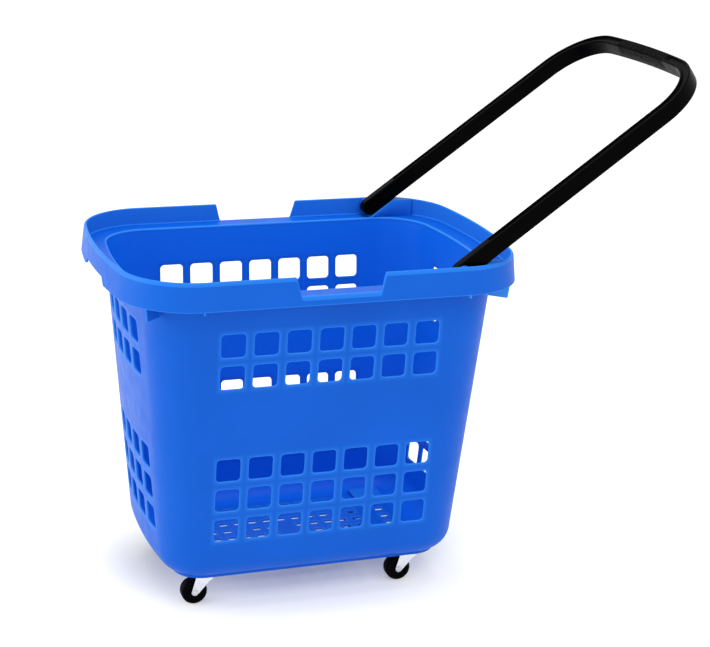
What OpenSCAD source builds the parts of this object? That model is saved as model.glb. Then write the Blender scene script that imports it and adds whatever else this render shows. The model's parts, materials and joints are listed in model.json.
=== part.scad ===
// Rolling basket trolley: a moulded basket on four swivel casters,
// with a U-shaped pull handle that folds down onto the rim.
// X runs along the basket towards the pull end, Y across it and Z up from the ground.
// The origin is on the ground under the middle of the overall length, handle included.

/* [Rim] */
// Length over the rim's outer faces, at its top
rim_length = 526; // [516:1:528]
// Width over the rim's outer faces, at its top
rim_width = 377; // [373:1:381]
// Height of the rim's top above the ground
rim_height = 463; // [459:1:467]
// Corner radius of the rim's outer face, at its top
rim_corner_r = 88; // [85:1:90]
// Radius of the short ends' outward bow, at the rim's top
end_bow_r = 788; // [700:1:900]
// How far the ledge lies below the rim's top
ledge_drop = 24; // [23:1:26]
// How far the rim's band reaches down from its top
band_depth = 36; // [34:1:40]
// Outward lean of the band, in degrees
band_flare = 6; // [4:0.5:7]
// Thickness of the band and the ledge
rim_wall = 3.5; // [3:0.1:3.6]
// Length of the notch in each long side, at the ledge
notch_length = 101; // [90:1:110]
// Length that the notch gains on each side, at its top
notch_slant = 6.5; // [4:0.5:10]
// Length of the hand-hold under each short end's ledge
hand_hold_length = 90; // [70:1:100]

/* [Basket] */
// Outer length of the tub at the ledge
tub_length = 474; // [471:1:476]
// Outer width of the tub at the ledge
tub_width = 331; // [328:1:333]
// Lean of all four walls, in degrees
wall_draft = 5.1; // [4.6:0.1:5.4]
// Thickness of the walls
wall = 3.2; // [2.8:0.1:3.4]
// Outer radius of the tub's upright corners, at the ledge
tub_corner_r = 65; // [63:1:66]
// Height of the floor's upper face above the ground
floor_height = 50; // [49.5:0.5:51]
// Thickness of the floor
floor_thickness = 3; // [2.6:0.1:3.4]
// Radius of the rounding between walls and floor, outside
fillet_r = 30; // [28:1:32]

/* [Openings] */
// Distance from one hole to the next, along and up
hole_pitch = 42; // [41:0.5:43]
// Width of a hole
hole_width = 31.3; // [28:0.1:33]
// Height of a hole
hole_height = 30.6; // [28:0.1:33]
// Corner radius of a hole
hole_corner_r = 5; // [3:0.5:7]
// Height of the lowest row's centre above the ground
first_row_height = 120.3; // [118:0.1:124]
// Length of a floor slot
slot_length = 11; // [9:0.5:12]
// Width of a floor slot
slot_width = 8; // [6:0.5:9]

/* [Handle] */
// Reach of the handle from its pivots to the outer face of the grip
handle_reach = 411; // [405:1:415]
// Distance between the outer faces of the arms, at the pivots
handle_width = 358; // [356:0.5:358.5]
// Width of the arms and the grip, in the plane of the U
arm_width = 15; // [13:0.5:16]
// Depth of the arms and the grip, square to the plane of the U
arm_depth = 22; // [21:0.5:22]
// Angle of the pulled-out handle above the horizontal
pull_angle = 35.7; // [34:0.1:40]
// Distance of the pivots from the basket's middle
pivot_x = 162; // [160:1:163]
// Diameter of the pivot pins
pivot_pin_d = 10; // [8:0.5:11]

/* [Casters] */
// Distance between the swivel axes, along the basket
caster_spacing_x = 282; // [276:1:286]
// Distance between the swivel axes, across the basket
caster_spacing_y = 168; // [160:1:170]
// Diameter of the wheels
wheel_d = 34; // [32:0.5:34]
// Width of the wheels
wheel_width = 15; // [13:0.5:15]
// How far the axle trails behind the swivel axis
trail = 13; // [11:0.5:14]

/* [Hidden] */
$fn = 48;
overlap = 1;
// Edge of the large blocks that cut a part off along a plane.
cut_size = 400;
// Thickness of the slices that hulls join.
slice = 0.01;
corners = [[1, 1], [-1, 1], [-1, -1], [1, -1]];

// Rim: centre_x and centre_y are the centres of its corners.
ledge_z = rim_height - ledge_drop;
ledge_thickness = 3;
skirt_z = rim_height - band_depth;
centre_y = rim_width / 2 - rim_corner_r;
end_sweep_r = end_bow_r - rim_corner_r;
centre_x = rim_length / 2 - rim_corner_r - end_bulge(centre_y);
hand_hold_slant = 9;
gusset_drop = 17;
gusset_turn = 41;
gusset_thickness = 3;
rib_drop = 5;
rib_thickness = 2.5;
rib_x = 170;

// Tub: its walls lean, and its corner radius shrinks a little on the way down.
corner_draft = 0.02;
corner_steps = 12;
end_steps = 4;
ring_height = 5;
ring_step = 1.5;
ring_wall = 3;
ring_z = floor_height - ring_height;
fillet_sweep = 70;
fillet_z = floor_height + fillet_r * sin(fillet_sweep);
inner_fillet_r = fillet_z - floor_height;
ring_inset = fillet_r * (1 - cos(fillet_sweep)) + ring_step;

// Hole grids: columns from the middle, and rows from the lowest.
side_columns = [-3, -2, -1, 0, 1, 2, 3];
end_columns = [-1.5, -0.5, 0.5, 1.5];
hole_rows = [0, 1, 2, 5, 6];
slot_pitch_x = 20.5;
slot_pitch_y = 23;
slot_columns = [-7, -5, -4, -3, -2, -1, 0, 1, 2, 3, 4, 5, 7];
slot_rows = [-3.5, -2.5, -1.5, -0.5, 0.5, 1.5, 2.5, 3.5];
last_slot_column = 7;
last_slot_row = 2.5;

// Handle: the U's centreline is two straight arms, two corner arcs and a bowed grip.
pivot_z = ledge_z + arm_depth / 2 + 3;
stop_gap = 0.3;
pin_end_gap = 0.3;
running_gap = 0.05;
arm_face_y = handle_width / 2;
pin_length = 7;
boss_r = rim_height - pivot_z;
boss_face_y = arm_face_y + 0.8;
bore_end_y = arm_face_y + pin_length + pin_end_gap;
boss_end_wall = 1.5;
stop_length = 86;
stop_width = 60;
stop_wall = 3;
hollow_length = 38;
hollow_width = 11;
hollow_inset = 0.5;
handle_taper = 0.002;
handle_corner_r = 76;
grip_bow_r = 1800;
grip_half = 65;
groove_width = 8;
groove_depth = 3;
groove_start = 51;
arc_steps = 8;
grip_steps = 12;

// The centreline's points in the U's plane, measured from the pivots' axis.
taper_length = norm([1, handle_taper]);
arm_out = [handle_taper, 1] / taper_length;
arm_along = [1, -handle_taper] / taper_length;
arm_start = [0, arm_face_y - arm_width / 2];
bow_centre = [handle_reach - arm_width / 2 - grip_bow_r, 0];
corner_offset = arm_start * arm_out - handle_corner_r;
corner_along = bow_centre * arm_along
    + sqrt(pow(grip_bow_r - handle_corner_r, 2) - pow(corner_offset - bow_centre * arm_out, 2));
corner_centre = arm_out * corner_offset + arm_along * corner_along;
arm_angle = atan2(arm_out.y, arm_out.x);
bow_angle = atan2(corner_centre.y - bow_centre.y, corner_centre.x - bow_centre.x);
grip_angle = asin(grip_half / grip_bow_r);

// Casters, from the ground up.
wheel_r = wheel_d / 2;
plate_thickness = 1.8;
plate_z = floor_height - floor_thickness - plate_thickness;
plate_length = 38;
plate_width = 32;
plate_corner_r = 4;
race_drop = 2.2;
race_r = 13;
ball_r = 1.7;
ball_ring_r = 9.5;
ball_count = 10;
ball_gap = 0.1;
ball_z = plate_z - race_drop - ball_r + 0.3;
crown_thickness = 1.8;
crown_z = ball_z - ball_r + 0.3 - crown_thickness;
crown_r = 15;
kingpin_r = 3;
kingpin_head_r = 5.5;
kingpin_head = 1.8;
head_gap = 0.3;
leg_thickness = 1.5;
leg_face_y = wheel_width / 2 + 1;
leg_end_r = 4.6;
leg_rear_lean = 15;
leg_front_lean = 45;
leg_shoulder = 3;
leg_front_x = 11.2;
leg_rear_x = -11.2;
axle_r = 2.5;
axle_head_r = 4.2;
axle_head = 1;
hub_r = 6;
hub_stand = 0.6;
web_recess = 2;
tread = 5;
screw_x = 14;
screw_y = 11;
screw_r = 2;
screw_head_r = 3.7;
screw_crown_r = 2.9;
screw_head = 2.2;
screw_top = floor_height + 3.5;
recess_length = 3.6;
recess_width = 0.9;
recess_depth = 1.2;
screw_hole_gap = 0.2;
pad_length = 42;
pad_width = 36;
pad_height = 5;

// The overall length runs from the rim's rear end to the grip's far edge.
grip_far_x = pivot_x + handle_reach * cos(pull_angle) + arm_depth / 2 * sin(pull_angle);
rim_rear_x = -rim_length / 2 - band_depth * tan(band_flare);
origin_x = -(grip_far_x + rim_rear_x) / 2;

CASTERS = [
    ["front_left", 1, 1],
    ["rear_left", -1, 1],
    ["rear_right", -1, -1],
    ["front_right", 1, -1],
];
CASTER_PARTS = ["plate", "balls", "kingpin", "fork", "axle", "wheel"];

// The short ends are arcs, tangent to the corners whose centres lie corner_y off the middle.
// These are half the arc's angle, and how far the arc's middle stands out past its ends.
function end_turn(corner_y) = asin(corner_y / end_sweep_r);
function end_bulge(corner_y) = end_sweep_r * (1 - cos(end_turn(corner_y)));

// Half length, half width and corner radius of the tub at a height, drawn in by an inset.
function half_length(z, inset) = tub_length / 2 - (ledge_z - z) * tan(wall_draft) - inset;
function half_width(z, inset) = tub_width / 2 - (ledge_z - z) * tan(wall_draft) - inset;
function corner_r(z, inset) = tub_corner_r - (ledge_z - z) * corner_draft - inset;

// A rounded rectangle, centred.
module rounded(length, width, r) {
    square([length - 2 * r, width], center = true);
    square([length, width - 2 * r], center = true);
    for (c = corners)
        translate([c[0] * (length / 2 - r), c[1] * (width / 2 - r)])
            circle(r);
}

// A quarter of an outline in plan, from the middle of a short end to the long side.
function quarter(half_l, half_w, r) =
    let (turn = end_turn(half_w - r), end_r = end_sweep_r + r)
    concat(
        [for (i = [0:end_steps])
            [half_l - end_r, 0] + end_r * [cos(turn * i / end_steps), sin(turn * i / end_steps)]],
        [for (i = [1:corner_steps])
            let (a = turn + (90 - turn) * i / corner_steps)
            [half_l - r - end_bulge(half_w - r), half_w - r] + r * [cos(a), sin(a)]]
    );
function both_ways(points) = concat(
    [for (i = [len(points) - 1:-1:1]) [points[i].x, -points[i].y]],
    points
);
module outline(half_l, half_w, r) {
    half = both_ways(quarter(half_l, half_w, r));
    polygon(concat(half, [for (p = -half) p]));
}

// A thin slice of the tub at one height, for a hull to join.
module tub_level(z, wall_z, inset) {
    translate([0, 0, z])
        linear_extrude(slice)
            outline(half_length(wall_z, inset), half_width(wall_z, inset), corner_r(wall_z, inset));
}

// The tub as a solid block, rounded at the bottom through the given part of a quarter turn.
module tub_block(inset, round_r, sweep, top) {
    hull() {
        tub_level(top, top, inset);
        tub_level(fillet_z, fillet_z, inset);
        for (a = [sweep / 7 : sweep / 7 : sweep + slice])
            tub_level(fillet_z - round_r * sin(a), fillet_z, inset + round_r * (1 - cos(a)));
    }
}

// The band's outer face, as a distance out from the corner centres.
function band_out(z) = rim_corner_r + (rim_height - z) * tan(band_flare);

// A thin slice of the rim whose upper face lies at a height, drawn in from the band's outer face.
module rim_level(top, inset) {
    out = band_out(top) - rim_corner_r - inset;
    translate([0, 0, top - slice])
        linear_extrude(slice)
            outline(rim_length / 2 + out, rim_width / 2 + out, rim_corner_r + out);
}

// The rim as a solid block between two heights.
module rim_block(low, high, inset) {
    hull() {
        rim_level(low, inset);
        rim_level(high, inset);
    }
}

// The ledge, with the band that stands above it and hangs below it.
module rim() {
    difference() {
        rim_block(skirt_z + slice, rim_height, 0);
        rim_block(ledge_z + slice, rim_height + overlap, rim_wall);
        rim_block(skirt_z - overlap, ledge_z - ledge_thickness, rim_wall);
    }
}

// Plates under the ledge that tie the skirt to the walls: one in each corner, two on each side.
module gussets() {
    for (c = corners)
        translate([c[0] * centre_x, c[1] * centre_y, 0])
            rotate([0, 0, atan2(c[1] * sin(gusset_turn), c[0] * cos(gusset_turn))])
                gusset(gusset_drop, gusset_thickness, tub_corner_r - wall);
    for (c = corners)
        translate([c[0] * rib_x, c[1] * centre_y, 0])
            rotate([0, 0, c[1] * 90])
                gusset(rib_drop, rib_thickness, tub_width / 2 - centre_y - wall);
}

module gusset(drop, thickness, wall_d) {
    rotate([90, 0, 0])
        linear_extrude(thickness, center = true)
            polygon([
                [wall_d - 4, ledge_z - overlap],
                [band_out(skirt_z) - rim_wall + overlap, ledge_z - overlap],
                [band_out(skirt_z) - rim_wall + overlap, skirt_z + overlap],
                [band_out(skirt_z) - rim_wall - overlap, skirt_z - drop],
                [wall_d - 4, skirt_z - drop],
            ]);
}

// A point in the pivots' frame: along the pulled-out arm, and square to it.
module on_arm() {
    translate([pivot_x, 0, pivot_z])
        rotate([0, -pull_angle, 0])
            children();
}

// Everything above a plane just under the pulled-out arms.
module above_arm(gap) {
    on_arm()
        translate([-cut_size / 2, 0, -arm_depth / 2 - gap])
            cube(cut_size);
}

// The blocks in the ledge channel whose sloping faces stop the arms.
module handle_stops() {
    tub_in = tub_width / 2 - wall + 0.5;
    for (side = [0, 1])
        mirror([0, side, 0])
            intersection() {
                rim_block(ledge_z - overlap, rim_height, overlap);
                difference() {
                    translate([pivot_x, tub_in, ledge_z - overlap])
                        cube([stop_length, stop_width, ledge_drop + 2 * overlap]);
                    above_arm(stop_gap);
                }
            }
}

// The hollows that keep the stops' walls thin, open from below.
module stop_hollows() {
    for (side = [0, 1])
        mirror([0, side, 0])
            difference() {
                translate([pivot_x, tub_width / 2 + hollow_inset, ledge_z - ledge_thickness - overlap])
                    cube([hollow_length, hollow_width, ledge_drop + ledge_thickness + overlap - stop_wall]);
                above_arm(stop_gap + stop_wall);
            }
}

// The bosses inside the band that hold the handle's pins, and their blind bores.
module pivot_bosses() {
    for (side = [-1, 1])
        translate([pivot_x, side * boss_face_y, pivot_z])
            rotate([-90 * side, 0, 0])
                cylinder(r = boss_r, h = bore_end_y + boss_end_wall - boss_face_y);
}

module pivot_bores() {
    for (side = [-1, 1])
        translate([pivot_x, side * (boss_face_y - overlap), pivot_z])
            rotate([-90 * side, 0, 0])
                cylinder(d = pivot_pin_d + 2 * running_gap, h = bore_end_y - boss_face_y + overlap);
}

module notches() {
    rotate([90, 0, 0])
        linear_extrude(rim_width + 40, center = true)
            polygon([
                [-notch_length / 2, ledge_z],
                [notch_length / 2, ledge_z],
                [notch_length / 2 + notch_slant, rim_height + overlap],
                [-notch_length / 2 - notch_slant, rim_height + overlap],
            ]);
}

module hand_holds() {
    for (side = [-1, 1])
        translate([side * (rim_length / 2 + 4), 0, 0])
            rotate([90, 0, 90])
                linear_extrude(20, center = true)
                    polygon([
                        [-hand_hold_length / 2, ledge_z - ledge_thickness],
                        [hand_hold_length / 2, ledge_z - ledge_thickness],
                        [hand_hold_length / 2 + hand_hold_slant, skirt_z - overlap],
                        [-hand_hold_length / 2 - hand_hold_slant, skirt_z - overlap],
                    ]);
}

module wall_holes() {
    for (row = hole_rows) {
        z = first_row_height + row * hole_pitch;
        for (column = side_columns)
            translate([column * hole_pitch, 0, z])
                rotate([90, 0, 0])
                    linear_extrude(tub_width + 20, center = true)
                        rounded(hole_width, hole_height, hole_corner_r);
        for (column = end_columns)
            translate([0, column * hole_pitch, z])
                rotate([90, 0, 90])
                    linear_extrude(tub_length + 20, center = true)
                        rounded(hole_width, hole_height, hole_corner_r);
    }
}

// A slot is left out at the floor's middle and where a caster's screws go in.
function has_slot(column, row) =
    !(column == 0 && abs(row) < 1) && !(abs(column) == last_slot_column && abs(row) > last_slot_row - 0.5);

module floor_slots() {
    for (column = slot_columns, row = slot_rows)
        if (has_slot(column, row))
            translate([column * slot_pitch_x, row * slot_pitch_y, floor_height - floor_thickness / 2])
                cube([slot_length, slot_width, floor_thickness + 2 * overlap], center = true);
}

// The floor with the ring round its edge, and the pads over the casters.
module base() {
    ring_l = half_length(fillet_z, ring_inset);
    ring_w = half_width(fillet_z, ring_inset);
    ring_r = corner_r(fillet_z, ring_inset);
    difference() {
        translate([0, 0, ring_z])
            linear_extrude(ring_height + overlap)
                outline(ring_l, ring_w, ring_r);
        translate([0, 0, ring_z - overlap])
            linear_extrude(ring_height - floor_thickness + overlap)
                outline(ring_l - ring_wall, ring_w - ring_wall, ring_r - ring_wall);
    }
}

module screw_pads() {
    for (c = CASTERS)
        at_caster(c)
            translate([0, 0, floor_height - overlap])
                linear_extrude(pad_height + overlap)
                    rounded(pad_length, pad_width, plate_corner_r);
}

module screw_holes() {
    for (c = CASTERS)
        at_caster(c)
            for (s = corners)
                translate([s[0] * screw_x, s[1] * screw_y, plate_z])
                    cylinder(r = screw_r, h = screw_top - plate_z);
}

module at_caster(c) {
    translate([c[1] * caster_spacing_x / 2, c[2] * caster_spacing_y / 2, 0])
        children();
}

module basket_body() {
    color("royalblue")
        difference() {
            union() {
                difference() {
                    union() {
                        tub_block(0, fillet_r, fillet_sweep, ledge_z);
                        rim();
                        gussets();
                        base();
                    }
                    tub_block(wall, inner_fillet_r, 90, ledge_z + overlap);
                }
                screw_pads();
                handle_stops();
                pivot_bosses();
            }
            pivot_bores();
            stop_hollows();
            notches();
            hand_holds();
            wall_holes();
            floor_slots();
            screw_holes();
        }
}

// Points of the U's centreline, each with the direction that points out of the U.
function arc_point(centre, r, a) = [centre + r * [cos(a), sin(a)], [cos(a), sin(a)]];
function corner_points() = [
    for (i = [0:arc_steps])
        arc_point(corner_centre, handle_corner_r, arm_angle + (bow_angle - arm_angle) * i / arc_steps)
];
function grip_points() = [
    for (i = [1:grip_steps - 1])
        arc_point(bow_centre, grip_bow_r, bow_angle * (1 - 2 * i / grip_steps))
];
function flipped(points) = [
    for (i = [len(points) - 1:-1:0])
        [[points[i][0].x, -points[i][0].y], [points[i][1].x, -points[i][1].y]]
];
function arm_point(along) = [arm_start + arm_along * along, arm_out];
// The outline of a strip of the given width along a row of such points.
function strip(points, width) = concat(
    [for (p = points) p[0] + p[1] * width / 2],
    [for (i = [len(points) - 1:-1:0]) points[i][0] - points[i][1] * width / 2]
);

module handle_outline() {
    side = concat([arm_point(-arm_depth / 2)], corner_points());
    polygon(strip(concat(side, grip_points(), flipped(side)), arm_width));
}

// The shallow channel along the top of one arm, which ends at the grip.
module groove_outline() {
    grip_end = arc_point(bow_centre, grip_bow_r, grip_angle);
    polygon(strip(concat([arm_point(groove_start)], corner_points(), [grip_end]), groove_width));
}

// What is left of the U once the arms' ends are rounded, seen from the side.
module rounded_ends() {
    rotate([90, 0, 0])
        linear_extrude(handle_width + arm_depth, center = true) {
            circle(d = arm_depth);
            translate([0, -arm_depth])
                square([handle_reach + overlap, 2 * arm_depth]);
        }
}

module handle() {
    color([0.08, 0.08, 0.09])
        on_arm() {
            difference() {
                intersection() {
                    linear_extrude(arm_depth, center = true)
                        handle_outline();
                    rounded_ends();
                }
                for (side = [0, 1])
                    mirror([0, side, 0])
                        translate([0, 0, arm_depth / 2 - groove_depth])
                            linear_extrude(groove_depth + overlap)
                                groove_outline();
            }
            for (side = [-1, 1])
                translate([0, side * (arm_face_y - overlap), 0])
                    rotate([-90 * side, 0, 0])
                        cylinder(d = pivot_pin_d, h = pin_length + overlap);
        }
}

// A ring-shaped track for the balls, as a cutter.
module ball_track() {
    translate([0, 0, ball_z])
        rotate_extrude()
            translate([ball_ring_r, 0])
                circle(ball_r + ball_gap);
}

module caster_plate() {
    color("gainsboro")
        difference() {
            union() {
                translate([0, 0, plate_z])
                    linear_extrude(plate_thickness)
                        rounded(plate_length, plate_width, plate_corner_r);
                translate([0, 0, plate_z - race_drop])
                    cylinder(r = race_r, h = race_drop + plate_thickness / 2);
            }
            ball_track();
            translate([0, 0, plate_z - race_drop - overlap])
                cylinder(r = kingpin_r, h = race_drop + plate_thickness + 2 * overlap);
            for (s = corners)
                translate([s[0] * screw_x, s[1] * screw_y, plate_z - overlap])
                    cylinder(r = screw_r + screw_hole_gap, h = plate_thickness + 2 * overlap);
        }
}

module caster_balls() {
    color("silver")
        for (i = [0:ball_count - 1])
            rotate([0, 0, 360 * i / ball_count])
                translate([ball_ring_r, 0, ball_z])
                    sphere(ball_r);
}

// A rivet whose lower head carries the fork.
module caster_kingpin() {
    head_z = crown_z - kingpin_head - head_gap;
    color("silver") {
        translate([0, 0, head_z])
            cylinder(r = kingpin_head_r, h = kingpin_head);
        translate([0, 0, head_z])
            cylinder(r = kingpin_r, h = plate_z + plate_thickness - head_z);
    }
}

module fork_leg() {
    rotate([90, 0, 0])
        linear_extrude(leg_thickness, center = true) {
            translate([-trail, wheel_r])
                circle(leg_end_r);
            polygon([
                [-trail - leg_end_r * cos(leg_rear_lean), wheel_r + leg_end_r * sin(leg_rear_lean)],
                [-trail + leg_end_r * cos(leg_front_lean), wheel_r - leg_end_r * sin(leg_front_lean)],
                [leg_front_x, crown_z - leg_shoulder],
                [leg_front_x, crown_z + crown_thickness],
                [leg_rear_x, crown_z + crown_thickness],
            ]);
        }
}

module caster_fork() {
    color("gainsboro")
        difference() {
            union() {
                translate([0, 0, crown_z])
                    cylinder(r = crown_r, h = crown_thickness);
                for (side = [-1, 1])
                    translate([0, side * (leg_face_y + leg_thickness / 2), 0])
                        fork_leg();
            }
            ball_track();
            translate([0, 0, crown_z - overlap])
                cylinder(r = kingpin_r + running_gap, h = crown_thickness + 2 * overlap);
            translate([-trail, 0, wheel_r])
                rotate([90, 0, 0])
                    cylinder(r = axle_r, h = 2 * crown_r, center = true);
        }
}

module caster_axle() {
    end_y = leg_face_y + leg_thickness;
    color("silver")
        translate([-trail, 0, wheel_r])
            rotate([90, 0, 0]) {
                cylinder(r = axle_r, h = 2 * end_y, center = true);
                for (side = [0, 1])
                    mirror([0, 0, side])
                        translate([0, 0, end_y])
                            cylinder(r = axle_head_r, h = axle_head);
            }
}

// The wheel's section: x is the distance from the axle, y from the middle plane.
function half_section(half) = [
    [axle_r + running_gap, half + hub_stand],
    [hub_r, half + hub_stand],
    [hub_r, half - web_recess],
    [wheel_r - tread, half - web_recess],
    [wheel_r - tread, half],
    [wheel_r - 2, half],
    [wheel_r - 0.6, half - 0.6],
    [wheel_r, half - 2],
];
function mirrored(points) = [for (i = [len(points) - 1:-1:0]) [points[i].x, -points[i].y]];

module caster_wheel() {
    color([0.1, 0.1, 0.11])
        translate([-trail, 0, wheel_r])
            rotate([90, 0, 0])
                rotate_extrude()
                    polygon(concat(half_section(wheel_width / 2), mirrored(half_section(wheel_width / 2))));
}

module caster_screw() {
    difference() {
        union() {
            translate([0, 0, plate_z - screw_head])
                cylinder(r1 = screw_crown_r, r2 = screw_head_r, h = screw_head);
            translate([0, 0, plate_z - overlap])
                cylinder(r = screw_r, h = screw_top - plate_z + overlap);
        }
        for (a = [0, 90])
            rotate([0, 0, a])
                translate([0, 0, plate_z - screw_head])
                    cube([recess_length, recess_width, 2 * recess_depth], center = true);
    }
}

module caster_screws() {
    color("silver")
        for (c = CASTERS)
            at_caster(c)
                for (s = corners)
                    translate([s[0] * screw_x, s[1] * screw_y, 0])
                        caster_screw();
}

module caster_part(part) {
    if (part == "plate") caster_plate();
    if (part == "balls") caster_balls();
    if (part == "kingpin") caster_kingpin();
    if (part == "fork") caster_fork();
    if (part == "axle") caster_axle();
    if (part == "wheel") caster_wheel();
}

module on_origin() {
    translate([origin_x, 0, 0])
        children();
}

on_origin() basket_body();
on_origin() handle();
on_origin() caster_screws();
for (c = CASTERS, part = CASTER_PARTS)
    on_origin() at_caster(c) caster_part(part);
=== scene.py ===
"""Looks for the rolling basket trolley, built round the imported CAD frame.
Shapes are written in millimetres from the basket's middle and scaled to metres when each mesh is made."""

import json
import math

import bmesh
import bpy
from mathutils import Matrix, Vector


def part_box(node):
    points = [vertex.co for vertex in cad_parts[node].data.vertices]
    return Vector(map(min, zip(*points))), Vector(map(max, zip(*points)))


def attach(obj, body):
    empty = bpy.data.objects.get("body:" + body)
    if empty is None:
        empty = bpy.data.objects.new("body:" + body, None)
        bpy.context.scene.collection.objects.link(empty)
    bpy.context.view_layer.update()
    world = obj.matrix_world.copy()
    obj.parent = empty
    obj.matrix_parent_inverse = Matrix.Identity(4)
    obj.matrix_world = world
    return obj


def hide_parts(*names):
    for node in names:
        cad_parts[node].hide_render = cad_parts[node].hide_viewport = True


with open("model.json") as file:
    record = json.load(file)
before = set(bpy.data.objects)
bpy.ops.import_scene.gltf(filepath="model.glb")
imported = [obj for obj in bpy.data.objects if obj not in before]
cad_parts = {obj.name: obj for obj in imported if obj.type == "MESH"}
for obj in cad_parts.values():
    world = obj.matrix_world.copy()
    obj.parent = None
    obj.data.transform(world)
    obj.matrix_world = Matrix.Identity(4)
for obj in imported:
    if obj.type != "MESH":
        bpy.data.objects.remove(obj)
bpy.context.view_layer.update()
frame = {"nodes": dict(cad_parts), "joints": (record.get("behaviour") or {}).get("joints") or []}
CASTERS = ["front_left", "rear_left", "rear_right", "front_right"]
MM = 0.001
basket_lo, basket_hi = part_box("basket_body")
BASKET_X = (basket_lo.x + basket_hi.x) / 2
joints = {j["name"]: j for j in frame["joints"]}

# Sizes that repeat part.scad, in millimetres.
LEDGE_Z, LEDGE_THICK, RIM_Z, SKIRT_Z = 439.0, 3.0, 463.0, 427.0
TUB_L, TUB_W, TUB_R, DRAFT, CORNER_DRAFT = 474.0, 331.0, 65.0, 5.1, 0.02
WALL, FLOOR_Z, FLOOR_THICK, FILLET_R, FILLET_SWEEP = 3.2, 50.0, 3.0, 30.0, 70.0
RIM_L, SWEEP_Y, RIM_R, END_BOW_R, FLARE, RIM_WALL = 526.0, 100.5, 88.0, 788.0, 6.0, 3.5
PITCH, HOLE_W, HOLE_H, HOLE_R, FIRST_ROW = 42.0, 31.3, 30.6, 5.0, 120.3
HOLE_ROWS = [0, 1, 2, 5, 6]
RING_CLEAR, RING_WALL, RING_DEPTH = 1.5, 3.0, 5.0
PIVOT_X, PIVOT_Z, PULL_ANGLE, HANDLE_W, ARM_D = 162.0, 453.0, 35.7, 358.0, 22.0
PAD_X, PAD_Y, PAD_HALF_L, PAD_HALF_W, PAD_R, PAD_TOP = 141.0, 84.0, 21.0, 18.0, 4.0, 55.0
GUSSET_TURN, GUSSET_DROP, GUSSET_THICK = 41.0, 17.0, 3.0
RIB_X, RIB_DROP, RIB_THICK = 170.0, 5.0, 2.5

# The shoulder's width and height: it rounds the band's top edge, and only this model has it.
SHOULDER_W, SHOULDER_H = 2.0, 4.6


def rad(degrees):
    return math.radians(degrees)


FILLET_Z = FLOOR_Z + FILLET_R * math.sin(rad(FILLET_SWEEP))
INNER_FILLET_R = FILLET_Z - FLOOR_Z
RING_INSET = FILLET_R * (1 - math.cos(rad(FILLET_SWEEP))) + RING_CLEAR
END_SWEEP_R = END_BOW_R - RIM_R


def end_turn(corner_y):
    """Half the angle of a short end's bow, whose corners' centres lie corner_y off the middle."""
    return math.asin(corner_y / END_SWEEP_R)


def end_bulge(corner_y):
    return END_SWEEP_R * (1 - math.cos(end_turn(corner_y)))


SWEEP_X = RIM_L / 2 - RIM_R - end_bulge(SWEEP_Y)


# ---------------------------------------------------------------- mesh helpers


class Build:
    """Collects vertices in millimetres and faces, and makes one object of them."""

    def __init__(self):
        self.verts, self.faces, self.tone = [], [], []

    def v(self, x, y, z, tone=0.0):
        self.verts.append((x, y, z))
        self.tone.append(tone)
        return len(self.verts) - 1

    def ring(self, points, tone=0.0):
        return [self.v(*p, tone=tone) for p in points]

    def strip(self, a, b, closed=True):
        n = len(a)
        for i in range(n if closed else n - 1):
            j = (i + 1) % n
            self.faces.append((a[i], a[j], b[j], b[i]))

    def rings(self, rows, closed=True):
        for a, b in zip(rows, rows[1:]):
            self.strip(a, b, closed)

    def cap(self, ring):
        self.faces.append(tuple(ring))

    def zipped(self, a, b):
        """Joins two closed rings of different lengths, by angle round the middle."""

        def by_angle(ring):
            angles = [math.atan2(self.verts[i][1], self.verts[i][0]) for i in ring]
            k = angles.index(min(angles))
            return ring[k:] + ring[:k], angles[k:] + angles[:k]

        a, angle_a = by_angle(a)
        b, angle_b = by_angle(b)
        angle_a.append(angle_a[0] + 2 * math.pi)
        angle_b.append(angle_b[0] + 2 * math.pi)
        i = j = 0
        while i < len(a) or j < len(b):
            if j >= len(b) or (i < len(a) and angle_a[i + 1] <= angle_b[j + 1]):
                self.faces.append((a[i], a[(i + 1) % len(a)], b[j % len(b)]))
                i += 1
            else:
                self.faces.append((a[i % len(a)], b[(j + 1) % len(b)], b[j]))
                j += 1

    def object(self, name, body, material, slot, replaces=(), shift_x=BASKET_X):
        """shift_x moves the piece from the middle that its points are written from into the frame, in metres."""
        mesh = bpy.data.meshes.new(name)
        mesh.from_pydata([(x * MM + shift_x, y * MM, z * MM) for x, y, z in self.verts], [], self.faces)
        edge = mesh.attributes.new("painted_light_tone", "FLOAT", "POINT")
        edge.data.foreach_set("value", self.tone)
        bm = bmesh.new()
        bm.from_mesh(mesh)
        bmesh.ops.remove_doubles(bm, verts=bm.verts, dist=4e-6)
        bmesh.ops.dissolve_degenerate(bm, edges=bm.edges, dist=1e-6)
        bmesh.ops.recalc_face_normals(bm, faces=bm.faces)
        bm.to_mesh(mesh)
        bm.free()
        mesh.shade_smooth()
        obj = bpy.data.objects.new(name, mesh)
        bpy.context.scene.collection.objects.link(obj)
        mesh.materials.append(material)
        obj.modifiers.new("face_weighted", "WEIGHTED_NORMAL").weight = 90
        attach(obj, body)
        if replaces:
            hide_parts(*replaces)
        return obj


def arc(cx, cy, r, a0, a1, steps):
    """Points of an arc in a plane, both ends included, angles in degrees."""
    turns = [rad(a0 + (a1 - a0) * i / steps) for i in range(steps + 1)]
    return [(cx + r * math.cos(a), cy + r * math.sin(a)) for a in turns]


# A lathed profile that ends on the axis stops this short of it, so that no face is without area.
AXIS = 0.01


def lathe(build, profile, place, segments=48):
    """Turns (radius, height) points about an axis; place maps (a, b, height) to a point."""
    turns = [2 * math.pi * i / segments for i in range(segments)]
    rows = [build.ring([place(r * math.cos(a), r * math.sin(a), h) for a in turns]) for r, h in profile]
    build.rings(rows)
    return rows


# ---------------------------------------------------------------- materials


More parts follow.
